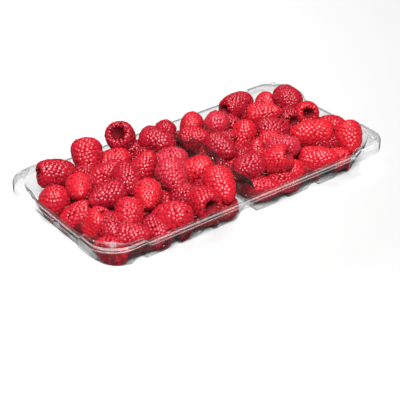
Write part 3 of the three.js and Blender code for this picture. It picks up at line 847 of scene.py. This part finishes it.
def master_berry(form, seed, sides, rings):
    """A whole berry about the origin, mouth down and tip up: a hollow cup set all round with drupelets, with
    others folded over the rim of its mouth."""
    rng = random.Random(seed)
    radius = MASTER_WIDE / 2
    mouth = "open" if form == "open" else "shut"
    shell = smoothed([(r * radius, h * MASTER_LONG) for r, h in SHELLS[form]])
    cup = smoothed([(r * radius, h * MASTER_LONG) for r, h in HOLLOWS[mouth]], 1)
    rim = len(cup) - 1
    for r, h in shell[5:-2:3]:
        cup.append((r - CREASE_DEPTH, h * (1 - 2 * CREASE_DEPTH / MASTER_LONG)))
    body = turned("cup", cup, CUP_SIDES)
    points = vertices_of(body)
    in_plan = np.hypot(points[:, 0], points[:, 1])
    inside = (in_plan < cup[rim][0] + 0.1) & (points[:, 2] < 0)
    # The cup between the drupelets takes the full painted shade of the creases
    set_attribute(body, "crown", 0.0)
    set_attribute(body, "hollow", inside.astype(float))
    set_attribute(body, "shade", 0.5)
    dome = drupelet_dome(sides, rings)
    parts = [body]
    for place, out in zip(*spread_over(shell, DRUPELET_PITCH, rng)):
        size = DRUPELET_PITCH * rng.uniform(*DRUPELET_SIZES)
        rise = DRUPELET_RELIEF * rng.uniform(*DRUPELET_RISES)
        across = size * rng.uniform(0.9, 1.1)
        lean = Vector([rng.uniform(-DRUPELET_LEAN, DRUPELET_LEAN) for _ in range(3)])
        foot = Vector(place) - Vector(out) * DRUPELET_RELIEF
        parts.append(set_dome(dome, foot, Vector(out) + lean, (size, across, rise), rng.uniform(0.0, 1.0)))
    ring = FOLD_RINGS[mouth] * radius
    for i in range(RIM_FOLDS):
        angle = (i + rng.uniform(-0.2, 0.2)) / RIM_FOLDS * 2 * math.pi
        reach = ring * rng.uniform(0.97, 1.05)
        spot = Vector((reach * math.cos(angle), reach * math.sin(angle), -FOLD_DEPTH * MASTER_LONG))
        width = ring * math.pi / RIM_FOLDS * rng.uniform(1.0, 1.25)
        fold = set_dome(dome, Vector(), Vector((0, 0, -1)), (1, 1, 1), rng.uniform(0.3, 1.0))
        size = (radius * FOLD_REACH, width, rng.uniform(0.8, 1.1), 1)
        fold.data.transform(Matrix.Translation(spot * MM) @ Matrix.Rotation(angle, 4, "Z")
                            @ Matrix.Diagonal(size))
        parts.append(fold)
    bpy.data.objects.remove(dome)
    berry = joined("berry_" + form, parts)
    only(berry)
    bpy.ops.object.shade_smooth()
    return berry


def wall_half(z):
    """Half of the tray's inner length and width at a height, and how round its corners are there."""
    t = np.clip((z - SHEET) / (RIM_Z - SHEET), 0, 1)
    half_x = RIM_X - BASE_INSET_X - SHEET + t * (BASE_INSET_X - MOUTH_INSET + SHEET)
    half_y = RIM_Y - BASE_INSET_Y - SHEET + t * (BASE_INSET_Y - MOUTH_INSET + SHEET)
    return half_x, half_y, BASE_FULLNESS - (BASE_FULLNESS - MOUTH_FULLNESS) * t


def ridge_height(y):
    """How high the divider stands at a distance from its middle."""
    stations = [(0, HUMP_Z)] + list(RIDGE_STATIONS)
    return np.interp(np.abs(y), [s[0] for s in stations], [s[1] for s in stations])


def press_into_tray(points, side):
    """Moves what would pass through the sheet back to it, as a soft berry flattens against its tray."""
    x, y, z = points.T.copy()
    corner = (MOUTH_CORNER + BASE_CORNER) / 2
    floor = np.full_like(z, SHEET + TRAY_GAP)
    for channel in CHANNEL_X:
        near = np.abs(np.abs(x) - channel)
        top = CHANNEL_Z + SHEET + TRAY_GAP
        share = np.clip((CHANNEL_FOOT + TRAY_GAP - near) / (CHANNEL_FOOT - CHANNEL_TOP), 0, 1)
        floor = np.maximum(floor, SHEET + TRAY_GAP + share * (top - SHEET - TRAY_GAP))
    z = np.maximum(z, floor)
    half_x, half_y, fullness = wall_half(z)
    half_x -= TRAY_GAP
    half_y -= TRAY_GAP
    rise_x = np.clip((np.abs(x) - RISE_X[0]) / (RISE_X[1] - RISE_X[0]), 0, 1)
    rise_y = np.clip((np.abs(y) - RISE_Y[0]) / (RISE_Y[1] - RISE_Y[0]), 0, 1)
    below = z < RIM_Z + CORNER_RISE * rise_x * rise_y + 0.1
    out_x = np.where(below, np.minimum(np.abs(x), half_x), np.abs(x))
    out_y = np.where(below, np.minimum(np.abs(y), half_y), np.abs(y))
    u = np.maximum(out_x - (half_x - corner), 1e-6)
    v = np.maximum(out_y - (half_y - corner), 1e-6)
    reach = (u ** fullness + v ** fullness) ** (1 / fullness)
    pull = np.where(below & (reach > corner) & (u > 1e-3) & (v > 1e-3), corner / reach, 1.0)
    out_x = np.where(pull < 1, half_x - corner + u * pull, out_x)
    out_y = np.where(pull < 1, half_y - corner + v * pull, out_y)
    x = np.sign(x) * out_x
    y = np.sign(y) * out_y
    slope = (RIDGE_FOOT - RIDGE_TOP) / HUMP_Z
    ridge = RIDGE_FOOT - slope * z + TRAY_GAP
    blocked = (z < ridge_height(y) + TRAY_GAP) & (side * x < ridge)
    x = np.where(blocked, side * ridge, x)
    return np.stack([x, y, z], axis=1)


def lumps(points, rng, amount):
    """Small slow swells, so that no two berries have the same form."""
    moved = points.copy()
    for _ in range(LUMP_WAVES):
        wave = np.array([rng.uniform(-1, 1) for _ in range(3)]) * LUMP_TURN
        push = np.array([rng.uniform(-1, 1) for _ in range(3)]) * amount
        moved += np.sin(points @ wave + rng.uniform(0, 6.28))[:, None] * push
    return moved


def tip_direction(turn, rise):
    """Which way a berry's tip points, from its turn in plan and its rise, both in degrees."""
    flat = math.cos(math.radians(rise))
    turn = math.radians(turn)
    return Vector((flat * math.cos(turn), flat * math.sin(turn), math.sin(math.radians(rise))))


def place_berry(master, row, side, rng):
    """A copy of a master berry at its size and place, uneven and pressed to the tray."""
    x, y, z, turn, rise, wide, long = row[:7]
    across = wide / MASTER_WIDE
    scale = Matrix.Diagonal((across, across * rng.uniform(0.94, 1.0), long / MASTER_LONG, 1))
    about_axis = Matrix.Rotation(rng.uniform(0, 6.28), 4, "Z")
    matrix = tip_direction(turn, rise).to_track_quat("Z", "Y").to_matrix().to_4x4() @ about_axis @ scale
    berry = master.copy()
    berry.data = master.data.copy()
    bpy.context.scene.collection.objects.link(berry)
    points = lumps(vertices_of(berry), rng, BERRY_LUMPS)
    points = points @ np.array(matrix.to_3x3()).T + np.array([x, y, z])
    points[:, 2] -= max(points[:, 2].max() - HEAP_TOP, 0)
    set_vertices(berry, press_into_tray(points, side))
    shade = np.empty(len(points), np.float32)
    berry.data.attributes["shade"].data.foreach_get("value", shade)
    set_attribute(berry, "shade", 0.55 * shade + 0.45 * rng.uniform(0, 1))
    return berry


def near(place, others, gap):
    return any(math.dist(place, other[:3]) < gap for other in others)


def bare(x, y):
    return any(math.hypot(x - bare_x, y - bare_y) < BARE_RADIUS for bare_x, bare_y in BARE_PLACES)


def hidden_berries(side, shown):
    """The berries along the walls and under the heap, laid by rule where no berry that shows is too near."""
    places = []
    for column in range(6):
        x = side * (LOW_COLUMN_X - column * LOW_PITCH)
        places += [(x, -LOW_ROW_Y, LOW_ROW_Z), (x, LOW_ROW_Y, LOW_ROW_Z)]
    places += [(side * LOW_COLUMN_X, row * LOW_PITCH, LOW_ROW_Z) for row in (-1.2, 0, 1.2)]
    along_walls = len(places)
    places += [(side * (17 + 16 * i), 15.5 * j, LOW_ROW_Z) for i in range(4) for j in (-1, 0, 1)]
    places += [(side * (14 + 5 * i), 5 * j, 15.5) for i in range(15) for j in range(-7, 8)]
    berries = []
    for i, (x, y, z) in enumerate(places):
        if i < along_walls:
            room = WALL_ROOM
        else:
            room = LOW_ROOM if z < LOW_LAYER_Z else HEAP_ROOM
        if bare(x, y) or near((x, y, z), shown, room) or near((x, y, z), berries, HIDDEN_ROOM):
            continue
        turn = i * 67 % 360
        rise = i * 41 % 50 - 25
        kind = ("mid", "deep", "bright", "mid", "deep")[i % 5]
        berries.append((x, y, z, turn, rise, LOW_WIDE, LOW_LONG, kind, ("blunt", "round", "conic")[i % 3]))
    return berries


def hair_master():
    """One dried style of unit length along Z: a fine three-sided spike with a bend."""
    clear_selection()
    bpy.ops.mesh.primitive_cone_add(vertices=3, radius1=MM, radius2=0, depth=MM, location=(0, 0, MM / 2),
                                    enter_editmode=True)
    hair = bpy.context.object
    bpy.ops.mesh.select_all(action="SELECT")
    bpy.ops.mesh.bisect(plane_co=(0, 0, 0.5 * MM), plane_no=(0, 0, 1))
    hair = finish_edit("hair")
    points = vertices_of(hair)
    points[:, 0] += HAIR_BEND * points[:, 2] ** 2
    return hair, points


def make_hairs(name, side, berries, rng):
    """Dried styles that stand from the drupelets of the berries on top."""
    hair, unit = hair_master()
    faces = [tuple(polygon.vertices) for polygon in hair.data.polygons]
    bpy.data.objects.remove(hair)
    vertices = []
    polygons = []
    for x, y, z, turn, rise, wide, long, _, _ in berries:
        tip = tip_direction(turn, rise)
        basis = tip.to_track_quat("Z", "Y").to_matrix()
        for _ in range(HAIRS_EACH):
            height = rng.uniform(-0.42, 0.46)
            ring = math.sqrt(max(0.02, 1 - (abs(height + 0.1) / 0.62) ** 2))
            angle = rng.uniform(0, 2 * math.pi)
            radius = ring * wide / 2
            local = Vector((radius * math.cos(angle), radius * math.sin(angle), height * long))
            spot = basis @ (local * 0.97) + Vector((x, y, z))
            if spot.z < RIM_Z - 2:
                continue
            out = (basis @ local).normalized()
            lean = Vector([rng.uniform(-1, 1) for _ in range(3)])
            aim = (out + lean * 0.7 + tip * 0.3).normalized()
            matrix = aim.to_track_quat("Z", "Y").to_matrix()
            length = min(rng.uniform(*HAIR_LENGTHS), HEAP_TOP - spot.z)
            if length < SHORTEST_HAIR:
                continue
            scale = np.array([HAIR_WIDE, HAIR_WIDE, length])
            start = len(vertices)
            for point in unit * scale:
                vertices.append((matrix @ Vector(point) + spot) * MM)
            polygons += [tuple(index + start for index in face) for face in faces]
    mesh = bpy.data.meshes.new(name)
    mesh.from_pydata(vertices, [], polygons)
    piece = bpy.data.objects.new(name, mesh)
    bpy.context.scene.collection.objects.link(piece)
    return piece


def make_core(name, side):
    """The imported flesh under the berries: a rounded block with swells, drawn in where the tray's ends are
    bare."""
    clear_selection()
    inner = RIDGE_FOOT + 1
    outer = RIM_X - BASE_INSET_X - 2
    half_y = RIM_Y - BASE_INSET_Y - 2
    middle = (side * (inner + outer) / 2 * MM, 0, CORE_MIDDLE_Z * MM)
    bpy.ops.mesh.primitive_cube_add(size=1, location=middle, enter_editmode=True)
    bpy.ops.transform.resize(value=((outer - inner) * MM, 2 * half_y * MM, CORE_HEIGHT * MM))
    bpy.ops.mesh.bevel(offset=CORE_ROUND * MM, segments=3, affect="EDGES")
    bpy.ops.mesh.select_all(action="SELECT")
    bpy.ops.mesh.subdivide(number_cuts=5)
    core = finish_edit(name)
    points = vertices_of(core)
    x, y, _ = points.T
    drawn_in = np.clip(y - 4, 0, None) if side < 0 else np.clip(np.abs(y) - 4, 0, None)
    points[:, 0] = side * np.minimum(np.abs(x), outer - drawn_in * 0.9)
    points[:, 1] = np.minimum(y, half_y - 8)
    rng = random.Random(5)
    points = press_into_tray(lumps(points, rng, CORE_LUMPS), side)
    set_vertices(core, points)
    only(core)
    bpy.ops.object.shade_smooth()
    return core


# Putting the punnet together

# The last colour of each flesh is the painted shade of its creases
FLESH = {
    "bright": raspberry_flesh("ripe raspberry, bright red", "#A81823", "#991220", "#7E0915", 0.0),
    "mid": raspberry_flesh("ripe raspberry, crimson", "#9E1623", "#8C0F1E", "#700814", 0.0),
    "deep": raspberry_flesh("full-ripe raspberry, deep crimson", "#901322", "#7E0C1B", "#600712", 0.0),
    "pale": raspberry_flesh("ripe raspberry under a pale bloom", "#A01E2E", "#8C1525", "#700916", 0.02),
}
HAIR = berry_hair()
CORE = crushed_core()


def give(piece, material, slot, *nodes):
    """Gives a finished piece its material, its body and the nodes that it stands for."""
    piece.data.materials.clear()
    piece.data.materials.append(material)
    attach(piece, "root")
    if nodes:
        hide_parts(*nodes)


tray = make_tray()
give(tray, clear_pet(), "clear_plastic", "tray")

# The berries that show have the finer masters, two of each form, and the hidden ones a coarser one
MASTERS = {}
for form in SHELLS:
    MASTERS[form, "top"] = [master_berry(form, seed, 8, 7) for seed in (1, 2)]
    MASTERS[form, "low"] = [master_berry(form, 3, 6, 5)]
for side_name, side, shown in (("left", -1, LEFT_BERRIES), ("right", 1, RIGHT_BERRIES)):
    node = "raspberries_" + side_name
    draw = random.Random(20 + side)
    groups = {}
    for number, row in enumerate(list(shown) + hidden_berries(side, shown)):
        layer = "top" if number < len(shown) else "low"
        choice = MASTERS[row[8], layer]
        berry = place_berry(choice[number % len(choice)], row, side, draw)
        groups.setdefault((row[7], layer), []).append(berry)
    for (kind, layer), berries in groups.items():
        give(joined(f"{side_name}_{kind}_{layer}_berries", berries), FLESH[kind], "berry_flesh", node)
    give(make_core(side_name + "_core", side), CORE, "berry_flesh", node)
    give(make_hairs(side_name + "_hairs", side, shown, draw), HAIR, "berry_flesh", node)
for choice in MASTERS.values():
    for master in choice:
        bpy.data.objects.remove(master)

# Floor, lights and camera

clear_selection()
bpy.ops.mesh.primitive_plane_add(size=6)
floor = bpy.context.object
floor.name = "floor"
floor.data.materials.append(pale_floor())


def softbox(name, place, size, power):
    """A square area light that faces the middle of the punnet."""
    data = bpy.data.lights.new(name, "AREA")
    data.shape = "SQUARE"
    data.size = size
    data.energy = power
    lamp = bpy.data.objects.new(name, data)
    lamp.location = place
    lamp.rotation_euler = (Vector((0, 0, 0.02)) - Vector(place)).to_track_quat("-Z", "Y").to_euler()
    bpy.context.scene.collection.objects.link(lamp)


softbox("key softbox", (-0.38, -0.48, 0.85), 0.5, 26)
softbox("overhead softbox", (0.1, 0.2, 0.95), 0.5, 6)

# A soft white surround, brighter overhead. Gloss sees it dimmed, as beside black cards.
world = bpy.data.worlds.new("studio")
world.use_nodes = True
sky = world.node_tree
direction = add(sky, "ShaderNodeTexCoord")
split = add(sky, "ShaderNodeSeparateXYZ", {}, {"Vector": direction.outputs["Generated"]})
height = add(sky, "ShaderNodeMapRange", {"From Min": 0.0, "From Max": 0.7, "To Min": 0.2, "To Max": 0.5},
             {"Value": split.outputs["Z"]})
rays = add(sky, "ShaderNodeLightPath")
dimmed = add(sky, "ShaderNodeMapRange", {"To Min": 1.0, "To Max": 0.15},
             {"Value": rays.outputs["Glossy Depth"]})
glow = add(sky, "ShaderNodeMath", {"operation": "MULTIPLY"}, {0: height.outputs[0], 1: dimmed.outputs[0]})
sky.links.new(glow.outputs[0], sky.nodes["Background"].inputs["Strength"])
sky.nodes["Background"].inputs["Color"].default_value = (1, 1, 1, 1)
bpy.context.scene.world = world
bpy.context.scene.view_settings.view_transform = "Standard"

camera_data = bpy.data.cameras.new("camera")
camera_data.sensor_width = 36
camera_data.lens = 102.75
camera = bpy.data.objects.new("camera", camera_data)
camera.location = (-0.3463, -0.4459, 0.3424)
view = Vector((-0.02704, -0.0328, 0.017)) - camera.location
camera.rotation_euler = view.to_track_quat("-Z", "Y").to_euler()
bpy.context.scene.collection.objects.link(camera)
bpy.context.scene.camera = camera
